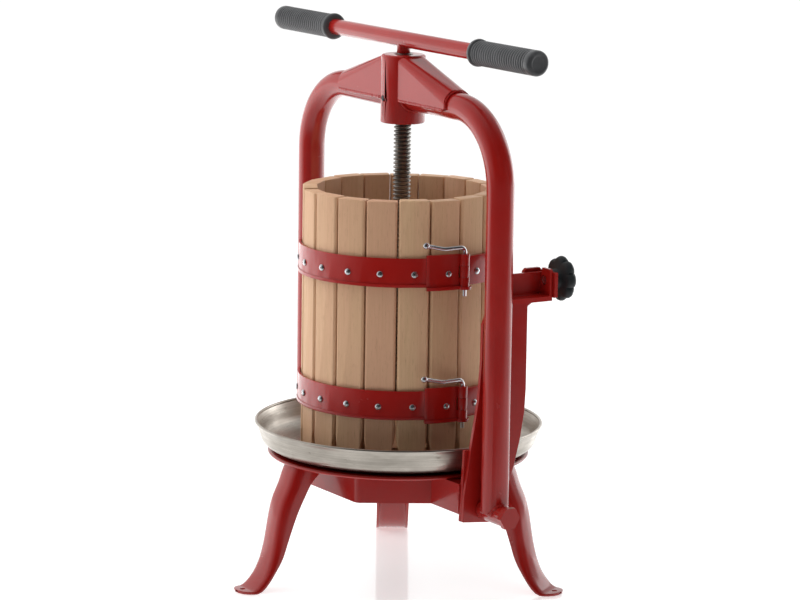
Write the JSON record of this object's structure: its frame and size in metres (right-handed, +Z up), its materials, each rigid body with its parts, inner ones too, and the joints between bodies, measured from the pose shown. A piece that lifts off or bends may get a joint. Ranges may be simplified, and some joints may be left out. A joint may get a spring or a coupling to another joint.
{
  "type": "fruit press",
  "caption": "Screw press: a slatted wooden basket stands in a round steel tray on a legged base, under a tilting tube arch with a cross handle.",
  "frame": {"origin": "on the floor, under the screw's axis, at the middle of the circle of the feet's screw holes", "axes": "+Z up, X in the plane of the arch with +X on the side of the support bar, +Y on the side of the clamping knob"},
  "size_m": [0.603, 0.4168, 0.699],
  "materials": {
    "red_paint": "gloss enamel",
    "beech": "bare planed beech",
    "tray_steel": "brushed",
    "dark_steel": "dark machined steel",
    "zinc_steel": "zinc plated",
    "nut_bronze": "machined",
    "black_rubber": "ribbed matte",
    "black_plastic": "moulded satin"
  },
  "bodies": {
    "base": {"base_disc": "red_paint", "base_frame": "red_paint", "arm_right": "red_paint", "arm_left": "red_paint", "leg_front": "red_paint", "leg_right": "red_paint", "leg_back": "red_paint", "end_plate_right": "red_paint", "end_plate_left": "red_paint", "support_bar": "red_paint", "latch_flange": "red_paint", "pivot_pin_right": "zinc_steel", "pivot_pin_left": "zinc_steel", "tray": "tray_steel", "stave_01": "beech", "stave_02": "beech", "stave_03": "beech", "stave_04": "beech", "stave_05": "beech", "stave_06": "beech", "stave_07": "beech", "stave_08": "beech", "stave_09": "beech", "stave_10": "beech", "stave_11": "beech", "stave_12": "beech", "stave_13": "beech", "stave_14": "beech", "stave_15": "beech", "stave_16": "beech", "stave_17": "beech", "stave_18": "beech", "stave_19": "beech", "lower_band_back": "red_paint", "lower_band_front": "red_paint", "upper_band_back": "red_paint", "upper_band_front": "red_paint", "band_screws": "zinc_steel", "press_disc": "beech"},
    "arch": {"arch_tube_right": "red_paint", "arch_tube_left": "red_paint", "pivot_barrel_right": "red_paint", "pivot_barrel_left": "red_paint", "nut_housing": "red_paint", "spindle_nut": "nut_bronze", "gusset_right": "red_paint", "gusset_left": "red_paint", "latch_bracket": "red_paint"},
    "foot": {"press_foot": "dark_steel"},
    "screw": {"spindle": "dark_steel", "handle_bar": "red_paint", "grip_right": "black_rubber", "grip_left": "black_rubber"},
    "clamp_washer": {"knob_washer": "zinc_steel"},
    "clamp_knob": {"knob": "black_plastic", "knob_stud": "zinc_steel"},
    "lower_pin_right": {"lower_hinge_pin_right": "zinc_steel"},
    "lower_pin_left": {"lower_hinge_pin_left": "zinc_steel"},
    "upper_pin_right": {"upper_hinge_pin_right": "zinc_steel"},
    "upper_pin_left": {"upper_hinge_pin_left": "zinc_steel"}
  },
  "joints": [
    {"name": "arch_tilt", "type": "hinge", "parent": "base", "child": "arch", "pos_m": [0, 0, 0.124], "axis": [1, 0, 0], "range_deg": [0, 13]},
    {"name": "screw_travel", "type": "slide", "parent": "arch", "child": "foot", "axis": [0, 0, 1], "range_m": [0, 0.3]},
    {"name": "screw_turn", "type": "hinge", "parent": "foot", "child": "screw", "pos_m": [0, 0, 0.4], "axis": [0, 0, 1], "range_deg": [0, 21600]},
    {"name": "knob_travel", "type": "slide", "parent": "base", "child": "clamp_washer", "axis": [0, 1, 0], "range_m": [0, 0.012]},
    {"name": "knob_turn", "type": "hinge", "parent": "clamp_washer", "child": "clamp_knob", "pos_m": [0.2185, 0.085, 0.406], "axis": [0, 1, 0], "range_deg": [0, 2880]},
    {"name": "lower_pin_right_lift", "type": "slide", "parent": "base", "child": "lower_pin_right", "axis": [0, 0, 1], "range_m": [0, 0.045]},
    {"name": "lower_pin_left_lift", "type": "slide", "parent": "base", "child": "lower_pin_left", "axis": [0, 0, 1], "range_m": [0, 0.045]},
    {"name": "upper_pin_right_lift", "type": "slide", "parent": "base", "child": "upper_pin_right", "axis": [0, 0, 1], "range_m": [0, 0.045]},
    {"name": "upper_pin_left_lift", "type": "slide", "parent": "base", "child": "upper_pin_left", "axis": [0, 0, 1], "range_m": [0, 0.045]}
  ],
  "couplings": [
    {"joint": "screw_travel", "follows": "screw_turn", "m_per_rad": 0.00079577},
    {"joint": "knob_travel", "follows": "knob_turn", "m_per_rad": 0.00023873}
  ]
}
